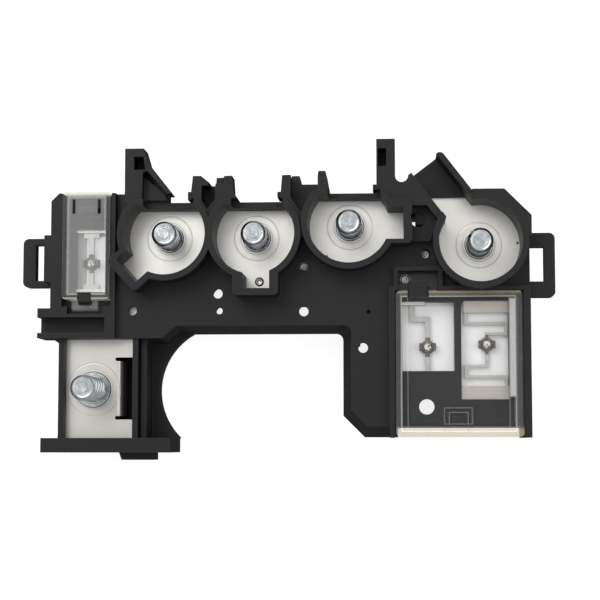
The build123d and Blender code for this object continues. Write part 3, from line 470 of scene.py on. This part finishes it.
@dataclass(frozen=True)
class ClearPolycarbonate:
    """Clear polycarbonate, moulded in a polished tool, with its walls painted cream and grey for the light
    that runs along them.

    The ribs' edges are painted as fine pale lines round their areas, a painted highlight. A pale run is a
    painted reflection of a bright window on a wall.
    """

    name: str
    outline: Area
    ribs: tuple[Area, ...] = ()
    pale_runs: tuple[Area, ...] = ()
    haze: float = 0.015
    sheen: float = 0.2
    foot_mm: tuple[float, float] = (1.3, 1.5)
    wall_mm: float = 1.4
    top_mm: tuple[float, float] = (0.2, 0.5)
    inner_line_mm: tuple[float, float] = (0.25, 0.2)
    rib_line_mm: tuple[float, float] = (0.12, 0.11)
    rib_strength: float = 0.6
    wall_alpha: float = 0.36
    pale_alpha: float = 0.4
    pale_fade_mm: float = 0.7
    tint: str = "C9C8C4"
    side_wall_shade: str = "525252"
    end_wall_light: str = "C0B08A"
    inner_line_highlight: str = "E8E6E0"
    pale_reflection_tone: str = "E4E1DD"
    ripple_mm: float = 9.0

    def depth(self, tree: Tree, place: Socket, area: Area, inset: float = 0.0) -> Socket:
        """Measure how far a point lies inside an area.

        Args:
            tree: Node tree of the material.
            place: Object coordinates.
            area: Left, right, bottom and top, in millimetres.
            inset: How much smaller the area is taken on each side, in millimetres.

        Returns:
            Socket with the depth from the nearest side in metres, negative outside.
        """
        split = add_node(tree, "ShaderNodeSeparateXYZ", {"Vector": place})
        depths = []
        for axis, low, high in (("X", area[0], area[1]), ("Y", area[2], area[3])):
            centre = add_node(tree, "ShaderNodeMath", {0: split.outputs[axis], 1: (low + high) / 2 * MM},
                              operation="SUBTRACT")
            away = add_node(tree, "ShaderNodeMath", {0: centre.outputs[0]}, operation="ABSOLUTE")
            half = ((high - low) / 2 - inset) * MM
            depths.append(add_node(tree, "ShaderNodeMath", {0: half, 1: away.outputs[0]},
                                   operation="SUBTRACT"))
        return larger_or_smaller(tree, "MINIMUM", depths[0].outputs[0], depths[1].outputs[0])

    def make(self) -> bpy.types.Material:
        """Build the material."""
        material, tree, place = blank_material(self.name)
        inside = self.depth(tree, place, self.outline, self.wall_mm)
        wall = line_mask(tree, inside, -self.wall_mm / 2 - 0.05, self.wall_mm / 2 + 0.05)
        height = add_node(tree, "ShaderNodeSeparateXYZ", {"Vector": place}).outputs["Y"]
        top = line_mask(tree, height, self.outline[3] - self.top_mm[0], self.top_mm[1])
        foot = line_mask(tree, height, self.outline[2] + self.foot_mm[0], self.foot_mm[1])
        end = larger_or_smaller(tree, "MAXIMUM", top, foot)
        line = line_mask(tree, inside, *self.inner_line_mm)
        for rib in self.ribs:
            near = self.depth(tree, place, rib)
            faint = add_node(tree, "ShaderNodeMath", {
                0: line_mask(tree, near, *self.rib_line_mm), 1: self.rib_strength}, operation="MULTIPLY")
            line = larger_or_smaller(tree, "MAXIMUM", line, faint.outputs[0])
        # Painted light: cream end walls and grey side walls, and pale highlight lines along the inner walls
        # and ribs.
        wall_tone = blend_colour(tree, end, linear(self.side_wall_shade), linear(self.end_wall_light))
        solid = larger_or_smaller(tree, "MAXIMUM", wall, foot)
        body = blend_colour(tree, solid, linear(self.tint), wall_tone)
        tone = blend_colour(tree, line, body, linear(self.inner_line_highlight))
        facing = add_node(tree, "ShaderNodeLayerWeight", {"Blend": 0.5})
        alpha = fade(tree, facing.outputs["Facing"], 0.5, 1.0, self.haze, 0.4)
        for mask, strength in ((solid, self.wall_alpha), (line, self.sheen)):
            alpha = larger_or_smaller(tree, "MAXIMUM", alpha, fade(tree, mask, 0.0, 1.0, 0.0, strength))
        # Painted reflection of a bright window along a wall.
        for run in self.pale_runs:
            inner = self.depth(tree, place, run)
            glow = fade(tree, inner, 0.0, self.pale_fade_mm * MM, 0.0, self.pale_alpha)
            alpha = larger_or_smaller(tree, "MAXIMUM", alpha, glow)
            tone = blend_colour(tree, glow, tone, linear(self.pale_reflection_tone))
        ripple = add_node(tree, "ShaderNodeTexNoise", {"Vector": place, "Scale": per_metre(self.ripple_mm),
                                                       "Detail": 2.0})
        bump = add_node(tree, "ShaderNodeBump", {"Height": ripple.outputs["Fac"], "Strength": 0.1,
                                                 "Distance": 0.05 * MM})
        shader = add_node(tree, "ShaderNodeBsdfPrincipled", {
            "Base Color": tone, "Roughness": 0.08, "IOR": 1.585, "Alpha": alpha,
            "Coat Weight": 0.4, "Coat Roughness": 0.03, "Normal": bump.outputs["Normal"]})
        close_material(tree, shader)
        return material


@dataclass(frozen=True)
class MilkyPolycarbonate:
    """Thin unpolished polycarbonate pane: a pale even veil with a slow cloudiness."""

    name: str = "milky_polycarbonate"
    pale: str = "EEEEEC"
    paler: str = "F6F6F4"
    thin: float = 0.62
    thick: float = 0.7
    cloud_mm: float = 8.0

    def make(self) -> bpy.types.Material:
        """Build the material."""
        material, tree, place = blank_material(self.name)
        cloud = add_node(tree, "ShaderNodeTexNoise", {"Vector": place, "Scale": per_metre(self.cloud_mm),
                                                      "Detail": 3.0})
        tone = blend_colour(tree, cloud.outputs["Fac"], linear(self.pale), linear(self.paler))
        veil = fade(tree, cloud.outputs["Fac"], 0.3, 0.7, self.thin, self.thick)
        shader = add_node(tree, "ShaderNodeBsdfPrincipled", {
            "Base Color": tone, "Roughness": 0.4, "IOR": 1.585, "Alpha": veil})
        close_material(tree, shader)
        return material


@dataclass(frozen=True)
class StudioPaper:
    """White sheet lit from below, as on a light table."""

    name: str = "studio_paper"
    shade: str = "8C8C8C"
    glow: str = "FFFFFF"
    strength: float = 0.86

    def make(self) -> bpy.types.Material:
        """Build the material."""
        material, tree, _ = blank_material(self.name)
        shader = add_node(tree, "ShaderNodeBsdfPrincipled", {
            "Base Color": linear(self.shade), "Roughness": 0.9,
            "Emission Color": linear(self.glow), "Emission Strength": self.strength})
        close_material(tree, shader)
        return material


class StudSize(Enum):
    """The two lengths of M8 stud.

    Each holds, in millimetres, the height above the bar, the collar's radius, and the head's width across
    its flats and its height.
    """

    SHORT = (13.0, 4.5, 12.0, 4.0)
    TALL = (18.0, 5.7, 13.0, 5.3)

    @property
    def height(self) -> float:
        """Height above the bar in metres."""
        return self.value[0] * MM

    @property
    def collar_radius(self) -> float:
        """Radius of the collar at the foot in metres."""
        return self.value[1] * MM

    @property
    def head_flats(self) -> float:
        """Width of the hexagonal head behind the bar, across its flats, in metres."""
        return self.value[2] * MM

    @property
    def head_height(self) -> float:
        """Height of the hexagonal head in metres."""
        return self.value[3] * MM


def mesh_object(name: str, mesh: bpy.types.Mesh) -> bpy.types.Object:
    """Link a mesh into the scene as an object at the origin.

    Args:
        name: Name of the new object.
        mesh: Mesh whose place is in its vertices.

    Returns:
        The new object.
    """
    obj = bpy.data.objects.new(name, mesh)
    bpy.context.scene.collection.objects.link(obj)
    return obj


def add_ring(work: bmesh.types.BMesh, radii: list[float], level: float) -> list[bmesh.types.BMVert]:
    """Add one ring of points round the upright axis.

    Args:
        work: Mesh to add to.
        radii: Radius at each angle, in metres.
        level: Height of the ring, in metres.

    Returns:
        The ring's points.
    """
    points = []
    for index, radius in enumerate(radii):
        angle = 2 * math.pi * index / len(radii)
        points.append(work.verts.new((radius * math.cos(angle), radius * math.sin(angle), level)))
    return points


def skin_rings(work: bmesh.types.BMesh, rings: list[list[bmesh.types.BMVert]],
               material_index: int = 0) -> None:
    """Join rings of points into a closed skin with a flat face at each end.

    Args:
        work: Mesh that holds the points.
        rings: Rings in order, each with as many points.
        material_index: Material slot of the faces.
    """
    for lower, upper in zip(rings, rings[1:]):
        for index in range(len(lower)):
            after = (index + 1) % len(lower)
            corners_of_face = (lower[index], lower[after], upper[after], upper[index])
            work.faces.new(corners_of_face).material_index = material_index
    for ring in (rings[0], rings[-1]):
        work.faces.new(ring).material_index = material_index


def keep_mesh(work: bmesh.types.BMesh, name: str) -> bpy.types.Mesh:
    """Turn the faces outwards and keep the result as a mesh.

    Args:
        work: Mesh being built. It is freed.
        name: Name of the mesh.

    Returns:
        The finished mesh.
    """
    bmesh.ops.recalc_face_normals(work, faces=work.faces)
    mesh = bpy.data.meshes.new(name)
    work.to_mesh(mesh)
    work.free()
    return mesh


def clean_copy(node: bpy.types.Object, name: str) -> bpy.types.Object:
    """Copy a CAD node's mesh and merge its loose triangles.

    Args:
        node: CAD node to copy.
        name: Name of the copy.

    Returns:
        The copy, as an object at the origin.
    """
    work = bmesh.new()
    work.from_mesh(node.data)
    bmesh.ops.remove_doubles(work, verts=work.verts, dist=0.002 * MM)
    bmesh.ops.dissolve_limit(work, angle_limit=math.radians(1.0), verts=work.verts, edges=work.edges)
    mesh = bpy.data.meshes.new(name)
    work.to_mesh(mesh)
    work.free()
    return mesh_object(name, mesh)


@dataclass
class ThreadedStud:
    """Press-in M8 stud: rolled thread, collar, turned tip, and a hexagonal head behind the bar.

    The tip's profile gives shares of its radius and drops below the top in millimetres.
    """

    size: StudSize
    radius: float = 4.0 * MM
    pitch: float = 1.25 * MM
    collar_height: float = 0.7 * MM
    chamfer: float = 0.85 * MM
    bar_thickness: float = 2.0 * MM
    head_chamfer: float = 0.35 * MM
    tip_profile: tuple[tuple[float, float], ...] = (
        (0.93, 0.0), (0.84, 0.06), (0.55, 0.06), (0.5, 0.14), (0.12, 0.16))
    around: int = 48
    steps: int = 8

    def radius_at(self, turn: float, level: float) -> float:
        """Give the thread's radius at a point.

        Args:
            turn: Angle round the stud as a share of a full turn.
            level: Height above the bar, in metres.

        Returns:
            The radius in metres.
        """
        depth = 0.55 * self.pitch
        phase = (level / self.pitch - turn) % 1.0
        crest, root = 0.2, 0.2
        flank = (1 - crest - root) / 2
        if phase < crest:
            cut = 0.0
        elif phase < crest + flank:
            cut = (phase - crest) / flank
        elif phase < crest + flank + root:
            cut = 1.0
        else:
            cut = 1 - (phase - crest - flank - root) / flank
        height = self.size.height
        start = min(1.0, max(0.0, (level - self.collar_height) / (0.8 * self.pitch)))
        finish = min(1.0, max(0.0, (height - self.chamfer * 0.6 - level) / (0.5 * self.pitch)))
        slope = max(0.0, level - (height - self.chamfer))
        return min(self.radius - depth * cut * start * finish, self.radius - slope)

    def head_radii(self, inset: float) -> list[float]:
        """Give the hexagonal head's radius at each angle, with flats facing left and right.

        Args:
            inset: How much the outline is drawn in, in metres.

        Returns:
            The radii in metres.
        """
        radii = []
        for index in range(self.around):
            off_flat = (2 * math.pi * index / self.around + math.pi / 6) % (math.pi / 3) - math.pi / 6
            radii.append(self.size.head_flats / 2 / math.cos(off_flat) - inset)
        return radii

    def build(self, name: str) -> bpy.types.Mesh:
        """Build the mesh with its foot at the origin of the bar's front.

        Args:
            name: Name of the mesh.

        Returns:
            The closed mesh.
        """
        work = bmesh.new()
        height, collar = self.size.height, self.size.collar_radius
        lip = self.collar_height * 0.3
        back = -self.bar_thickness
        low = back - self.size.head_height
        rings = [add_ring(work, self.head_radii(self.head_chamfer), low),
                 add_ring(work, self.head_radii(0.0), low + self.head_chamfer),
                 add_ring(work, self.head_radii(0.0), back)]
        for radius, level in ((self.radius, back), (self.radius, 0.0), (collar, 0.0),
                              (collar, self.collar_height - lip), (collar - lip, self.collar_height)):
            rings.append(add_ring(work, [radius] * self.around, level))
        count = int(height / self.pitch * self.steps)
        for step in range(count + 1):
            level = self.collar_height + (height - self.collar_height) * step / count
            radii = [self.radius_at(index / self.around, level) for index in range(self.around)]
            rings.append(add_ring(work, radii, level))
        tip = self.radius - self.chamfer
        for share, drop_mm in self.tip_profile:
            rings.append(add_ring(work, [tip * share] * self.around, height - drop_mm * MM))
        skin_rings(work, rings)
        return keep_mesh(work, name)


@dataclass
class RolledRivet:
    """Tubular rivet: a rolled head with a dimple in front, and a plain tail behind."""

    head_radius: float = 1.4 * MM
    shank_radius: float = 0.9 * MM
    head_height: float = 0.6 * MM
    length: float = 5.0 * MM
    around: int = 32

    def build(self, name: str) -> bpy.types.Mesh:
        """Build the mesh with its front face at zero and its tail below it.

        Args:
            name: Name of the mesh.

        Returns:
            The closed mesh.
        """
        head, shank, high, low = self.head_radius, self.shank_radius, self.head_height, -self.length
        dimple = [(0.25 * MM, -0.32 * MM), (0.5 * MM, -0.24 * MM), (0.72 * MM, -0.04 * MM), (0.95 * MM, 0.0)]
        profile = dimple + [(head - 0.14 * MM, -0.12 * MM), (head, -0.3 * MM), (head, -high), (shank, -high),
                            (shank, low + high), (head, low + high), (head, low + 0.1 * MM),
                            (head - 0.1 * MM, low)]
        work = bmesh.new()
        skin_rings(work, [add_ring(work, [radius] * self.around, level) for radius, level in profile])
        return keep_mesh(work, name)


@dataclass
class FastenerRow:
    """Equal studs or rivets, set out on their plates by a node tree."""

    name: str
    fastener: ThreadedStud | RolledRivet
    places: tuple[Place, ...]
    level: float
    nodes: tuple[str, ...]
    slot: str

    def tree(self, finish: bpy.types.Material) -> Tree:
        """Build the tree that copies one fastener to each given point.

        Args:
            finish: Material of the fasteners.

        Returns:
            The geometry node tree.
        """
        tree = bpy.data.node_groups.new(self.name + "_layout", "GeometryNodeTree")
        tree.interface.new_socket("Geometry", in_out="INPUT", socket_type="NodeSocketGeometry")
        tree.interface.new_socket("Fastener", in_out="INPUT", socket_type="NodeSocketObject")
        tree.interface.new_socket("Level", in_out="INPUT", socket_type="NodeSocketFloat")
        tree.interface.new_socket("Geometry", in_out="OUTPUT", socket_type="NodeSocketGeometry")
        start = add_node(tree, "NodeGroupInput")
        pattern = add_node(tree, "GeometryNodeObjectInfo", {"Object": start.outputs["Fastener"]})
        rise = add_node(tree, "ShaderNodeCombineXYZ", {"Z": start.outputs["Level"]})
        points = add_node(tree, "GeometryNodeSetPosition", {"Geometry": start.outputs["Geometry"],
                                                            "Offset": rise.outputs["Vector"]})
        copies = add_node(tree, "GeometryNodeInstanceOnPoints", {"Points": points.outputs["Geometry"],
                                                                 "Instance": pattern.outputs["Geometry"]})
        real = add_node(tree, "GeometryNodeRealizeInstances", {"Geometry": copies.outputs["Instances"]})
        dressed = add_node(tree, "GeometryNodeSetMaterial", {"Geometry": real.outputs["Geometry"],
                                                             "Material": finish})
        add_node(tree, "NodeGroupOutput", {"Geometry": dressed.outputs["Geometry"]})
        return tree

    def build(self, finish: bpy.types.Material) -> bpy.types.Object:
        """Build the row as one piece that stands for its CAD nodes.

        Args:
            finish: Material of the fasteners.

        Returns:
            The finished piece.
        """
        pattern = mesh_object(self.name + "_pattern", self.fastener.build(self.name + "_pattern"))
        points = bpy.data.meshes.new(self.name + "_points")
        points.from_pydata([(x * MM, y * MM, 0.0) for x, y in self.places], [], [])
        holder = mesh_object(self.name + "_holder", points)
        made = grow(holder, self.tree(finish), {"Fastener": pattern, "Level": self.level}, self.name)
        bpy.data.objects.remove(pattern)
        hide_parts(*self.nodes)
        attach(made, "carrier")
        return made


def grow(holder: bpy.types.Object, tree: Tree, values: dict, name: str) -> bpy.types.Object:
    """Run a geometry node tree and keep its result as a plain mesh.

    Args:
        holder: Object whose mesh the tree starts from. It is removed.
        tree: Geometry node tree to run.
        values: Name of each input to its value.
        name: Name of the new object.

    Returns:
        The new object, at the origin and with no modifier.
    """
    modifier = holder.modifiers.new("layout", "NODES")
    modifier.node_group = tree
    sockets = {item.name: item.identifier for item in tree.interface.items_tree if item.in_out == "INPUT"}
    for key, value in values.items():
        modifier[sockets[key]] = value
    bpy.context.view_layer.update()
    shown = holder.evaluated_get(bpy.context.evaluated_depsgraph_get())
    mesh = bpy.data.meshes.new_from_object(shown)
    mesh.name = name
    holder.modifiers.remove(modifier)
    bpy.data.objects.remove(holder)
    return mesh_object(name, mesh)


@dataclass
class WindowPanes:
    """Thin panes set in the three fuse windows, behind the links, with eased edges."""

    name: str = "fuse_window_panes"
    windows: tuple[Area, ...] = (
        (-67.0, -57.4, 3.4, 23.4), (36.0, 52.4, -21.8, -0.1), (54.4, 69.2, -30.6, 0.1))
    back: float = 15.0 * MM
    thickness: float = 0.8 * MM
    edge: float = 0.15 * MM
    play: float = 0.03 * MM

    def build(self, finishes: tuple[bpy.types.Material, ...]) -> bpy.types.Object:
        """Build the panes as one piece on the carrier.

        Args:
            finishes: Material of each pane, from the left.

        Returns:
            The finished piece.
        """
        work = bmesh.new()
        for number, (left, right, low, high) in enumerate(self.windows):
            rings = []
            for inset, level in ((self.edge, 0.0), (0.0, self.edge), (0.0, self.thickness - self.edge),
                                 (self.edge, self.thickness)):
                gap = inset + self.play
                x0, x1, y0, y1 = left * MM + gap, right * MM - gap, low * MM + gap, high * MM - gap
                rings.append([work.verts.new((x, y, self.back + level))
                              for x, y in ((x0, y0), (x1, y0), (x1, y1), (x0, y1))])
            skin_rings(work, rings, number)
        mesh = keep_mesh(work, self.name)
        for finish in finishes:
            mesh.materials.append(finish)
        panes = mesh_object(self.name, mesh)
        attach(panes, "carrier")
        return panes


@dataclass
class ClearLid:
    """A clear lid: the CAD shape with its moulded edges rounded off."""

    node: str
    body: str
    edge_radius: float = 0.25 * MM

    def build(self, frame: dict, finish: bpy.types.Material) -> bpy.types.Object:
        """Build the lid from its CAD node.

        Args:
            finish: Clear material.

        Returns:
            The finished piece.
        """
        lid = clean_copy(frame["nodes"][self.node], self.node + "_clear")
        bevel = lid.modifiers.new("edges", "BEVEL")
        bevel.width = self.edge_radius
        bevel.segments = 2
        bevel.limit_method = "ANGLE"
        bevel.angle_limit = math.radians(40)
        bevel.use_clamp_overlap = True
        lid.data.materials.clear()
        lid.data.materials.append(finish)
        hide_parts(self.node)
        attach(lid, self.body)
        return lid


@dataclass
class Studio:
    """Floor, soft lights and camera."""

    camera_place: tuple[float, float, float] = (35.24 * MM, -44.67 * MM, 530.0 * MM)
    pitch: float = math.radians(5.0526)
    yaw: float = math.radians(-3.4758)
    focal_pixels: float = 1640.0
    frame_pixels: float = 600.0
    sky_colour: str = "E8E9EB"

    def build(self) -> None:
        """Build the floor, the lights, the surroundings and the camera."""
        self.floor()
        self.lights()
        self.camera()

    def floor(self) -> None:
        """Lay a plain pale sheet under the block."""
        mesh = bpy.data.meshes.new("floor")
        half = 3.0
        mesh.from_pydata([(-half, -half, 0), (half, -half, 0), (half, half, 0), (-half, half, 0)], [],
                         [(0, 1, 2, 3)])
        sheet = mesh_object("floor", mesh)
        sheet.location.z = -0.0002
        sheet.visible_glossy = False
        mesh.materials.append(StudioPaper().make())

    def lights(self) -> None:
        """Hang the soft boxes and set the pale surroundings."""
        world = bpy.data.worlds.new("studio")
        bpy.context.scene.world = world
        world.use_nodes = True
        tree = world.node_tree
        tree.nodes.clear()
        way = add_node(tree, "ShaderNodeTexCoord")
        split = add_node(tree, "ShaderNodeSeparateXYZ", {"Vector": way.outputs["Generated"]})
        rise = fade(tree, split.outputs["Z"], -0.2, -0.02, 0.12, 0.75)
        crown = fade(tree, split.outputs["Z"], 0.5, 0.95, 0.0, 0.45)
        level = add_node(tree, "ShaderNodeMath", {0: rise, 1: crown})
        sky = add_node(tree, "ShaderNodeBackground", {"Color": linear(self.sky_colour),
                                                      "Strength": level.outputs[0]})
        add_node(tree, "ShaderNodeOutputWorld", {"Surface": sky.outputs[0]})
        boxes = (("key", (-0.35, 0.45, 0.75), 0.6, 4.5), ("fill", (0.55, 0.1, 0.7), 0.7, 1.8))
        for name, place, size, power in boxes:
            data = bpy.data.lights.new(name, "AREA")
            data.shape = "SQUARE"
            data.size = size
            data.energy = power
            lamp = bpy.data.objects.new(name, data)
            lamp.location = place
            lamp.rotation_mode = "QUATERNION"
            lamp.rotation_quaternion = (-Vector(place)).to_track_quat("-Z", "Y")
            bpy.context.scene.collection.objects.link(lamp)
        bpy.context.scene.view_settings.view_transform = "Standard"

    def camera(self) -> None:
        """Set the camera at the photograph's angle."""
        look = Vector((math.sin(self.yaw) * math.cos(self.pitch), math.sin(self.pitch),
                       -math.cos(self.yaw) * math.cos(self.pitch)))
        right = look.cross(Vector((0, 1, 0))).normalized()
        up = right.cross(look)
        data = bpy.data.cameras.new("camera")
        data.sensor_width = 36.0
        data.lens = 36.0 * self.focal_pixels / self.frame_pixels
        data.clip_start = 0.01
        camera = bpy.data.objects.new("camera", data)
        camera.matrix_world = Matrix((
            (right.x, up.x, -look.x, self.camera_place[0]),
            (right.y, up.y, -look.y, self.camera_place[1]),
            (right.z, up.z, -look.z, self.camera_place[2]),
            (0, 0, 0, 1)))
        bpy.context.scene.collection.objects.link(camera)
        bpy.context.scene.camera = camera


def lid_finishes() -> tuple[bpy.types.Material, bpy.types.Material]:
    """Make the clear finishes of the left and the right lid."""
    left = ClearPolycarbonate("clear_polycarbonate_small_lid", (-69.9, -54.9, 0.6, 34.4),
                              ribs=((-64.4, -58.2, 26.4, 29.6),), haze=0.13, sheen=0.25, foot_mm=(0.2, 0.35),
                              tint="D6D6D3", end_wall_light="E6E0CC")
    right = ClearPolycarbonate("clear_polycarbonate_large_lid", (34.2, 72.4, -42.2, 2.6),
                               ribs=((37.65, 68.95, -40.6, 1.0), (48.8, 57.6, -38.4, -33.2),
                                     (50.2, 56.2, -38.4, -34.6)),
                               pale_runs=((68.6, 71.2, -30.2, 0.6),))
    return left.make(), right.make()


def dress_cad(frame: dict, slots: dict[str, str], zinc: bpy.types.Material,
              clear: bpy.types.Material) -> None:
    """Give every CAD node its finish.

    Args:
        slots: Material slot of each node.
        zinc: Finish of the slot zinc_plated_steel.
        clear: Finish of the slot clear_plastic.
    """
    by_slot = {"carrier_plastic": MouldedNylon().make(), "tinned_copper": TinnedCopper().make(),
               "tin_alloy": CastTin().make(), "zinc_plated_steel": zinc, "clear_plastic": clear}
    strip = TinnedStrip().make()
    # Painted light: the first link gets a lighter copy of the strip finish.
    lit_link_strip = TinnedStrip("tin_plated_link_strip_painted_lighter", dark="BFBEBB", light="D2D1CE").make()
    links = {"fuse_link_1": lit_link_strip, "fuse_link_2": strip, "fuse_link_3": strip}
    for name, node in frame["nodes"].items():
        node.data.materials.clear()
        node.data.materials.append(links.get(name, by_slot[slots[name]]))


def build_studs(slots: dict[str, str], zinc: bpy.types.Material) -> list[bpy.types.Object]:
    """Build the four short studs and the tall one.

    Args:
        slots: Material slot of each node.
        zinc: Finish of the studs.

    Returns:
        The finished pieces.
    """
    outlets = tuple(name for name in sorted(slots) if name.startswith("outlet_stud"))
    return [
        FastenerRow("outlet_studs", ThreadedStud(StudSize.SHORT), OUTLET_PLACES, BAR_FRONT, outlets,
                    "zinc_plated_steel").build(zinc),
        FastenerRow("battery_stud", ThreadedStud(StudSize.TALL), (BATTERY_PLACE,), BAR_FRONT,
                    ("battery_stud_m8",), "zinc_plated_steel").build(zinc),
    ]


def build_rivets(slots: dict[str, str]) -> bpy.types.Object:
    """Build the four rivets where the CAD rivets are; the first one has a dark rim.

    Args:
        slots: Material slot of each node.

    Returns:
        The finished piece.
    """
    nodes = tuple(name for name in sorted(slots) if name.startswith("bar_rivet"))
    centres = []
    for name in nodes:
        low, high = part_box(name)
        centres.append(((low[0] + high[0]) / 2 / MM, (low[1] + high[1]) / 2 / MM))
    low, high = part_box(nodes[0])
    finish = TinnedCopper("tin_plated_rivet", dark_rims=(centres[0],)).make()
    return FastenerRow("bar_rivets", RolledRivet(length=high[2] - low[2]), tuple(centres), high[2], nodes,
                       "tinned_copper").build(finish)


def main() -> None:
    """Build every sub-assembly in order and report it."""
    logging.basicConfig(level=logging.INFO, format="%(name)s: %(message)s")
    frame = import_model()
    slots = {row["node"]: row["material_slot"] for row in frame["record"]["subparts"]}
    left_clear, right_clear = lid_finishes()
    zinc = ZincSteel().make()
    dress_cad(frame, slots, zinc, right_clear)
    milky = MilkyPolycarbonate().make()
    thin_milky = MilkyPolycarbonate("milky_polycarbonate_thin", thin=0.3, thick=0.38).make()
    pieces = build_studs(slots, zinc)
    pieces.append(WindowPanes().build((thin_milky, milky, milky)))
    pieces.append(build_rivets(slots))
    pieces.append(ClearLid("fuse_lid_left", "lid_left").build(frame, left_clear))
    pieces.append(ClearLid("fuse_lid_right", "lid_right").build(frame, right_clear))
    for piece in pieces:
        LOG.info("%s: %d faces", piece.name, len(piece.data.polygons))
    Studio().build()


if __name__ == "__main__":
    main()
